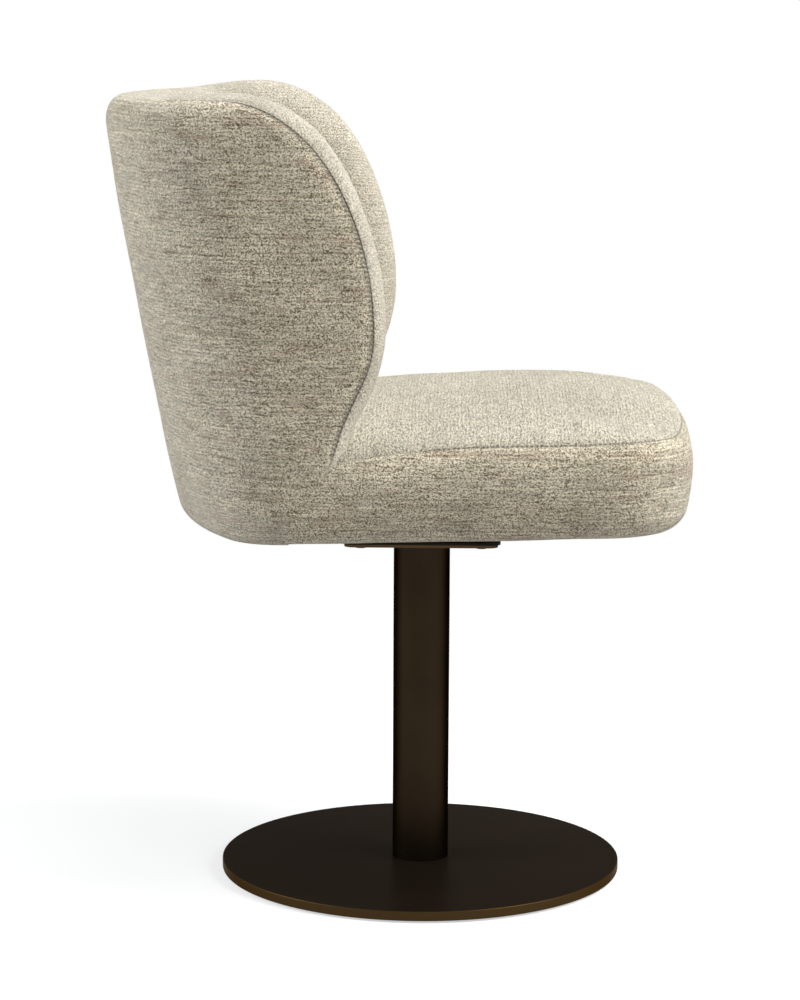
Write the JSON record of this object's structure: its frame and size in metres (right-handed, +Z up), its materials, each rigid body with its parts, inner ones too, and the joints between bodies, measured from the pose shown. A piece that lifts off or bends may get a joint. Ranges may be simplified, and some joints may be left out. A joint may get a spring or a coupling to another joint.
{
  "type": "swivel dining chair",
  "caption": "Upholstered dining chair: padded seat with a low curved wing back, turning on a ball-bearing swivel over a round column and flat disc base.",
  "frame": {"origin": "on the floor, at the middle of the round base, on the axis of the column", "axes": "+Z up along the column, -Y towards the front of the seat, +X to the sitter's left"},
  "size_m": [0.514, 0.5794, 0.794],
  "materials": {
    "pad_felt": "black felt",
    "bronze_dark": "satin dark bronze",
    "bronze_plate": "satin bronze",
    "black_steel": "black powder coat",
    "black_bolt": "black oxide",
    "zinc_steel": "zinc plated",
    "raw_steel": "turned steel",
    "cage_brass": "pressed",
    "ball_steel": "ground",
    "wedge_plastic": "black moulded",
    "plywood": "bare birch plywood",
    "foam": "polyurethane foam",
    "chenille_seat": "slubby chenille, across",
    "chenille_side": "slubby chenille",
    "chenille_inner": "slubby chenille",
    "chenille_border": "slubby chenille",
    "dust_cloth": "black cambric"
  },
  "bodies": {
    "pedestal": {"floor_pad": "pad_felt", "base_disc": "bronze_dark", "base_bolt": "zinc_steel", "base_washer": "zinc_steel", "base_dowel": "zinc_steel", "foot_plug": "raw_steel", "column_tube": "bronze_dark", "column_top_plate": "bronze_plate", "swivel_lower_plate": "black_steel", "lower_plate_bolts": "black_bolt", "lower_plate_nuts": "black_bolt"},
    "ball_cage": {"ball_retainer": "cage_brass", "bearing_balls": "ball_steel"},
    "seat": {"swivel_upper_plate": "black_steel", "swivel_rivet": "zinc_steel", "spacer_wedge": "wedge_plastic", "seat_bolts": "black_bolt", "tee_nuts": "zinc_steel", "seat_board": "plywood", "seat_foam": "foam", "seat_top_cover": "chenille_seat", "seat_side_band": "chenille_side", "dust_cover": "dust_cloth", "back_frame": "plywood", "frame_screws": "zinc_steel", "back_wadding": "foam", "back_inner_foam": "foam", "back_outer_cover": "chenille_side", "back_inner_cover": "chenille_inner", "border_roll": "foam", "border_strip": "chenille_border"}
  },
  "joints": [
    {"name": "seat_swivel", "type": "hinge", "parent": "pedestal", "child": "seat", "pos_m": [0, 0, 0.35715], "axis": [0, 0, 1], "continuous": true},
    {"name": "cage_spin", "type": "hinge", "parent": "pedestal", "child": "ball_cage", "pos_m": [0, 0, 0.35715], "axis": [0, 0, 1], "continuous": true}
  ],
  "couplings": [
    {"joint": "cage_spin", "follows": "seat_swivel", "ratio": 0.5}
  ]
}
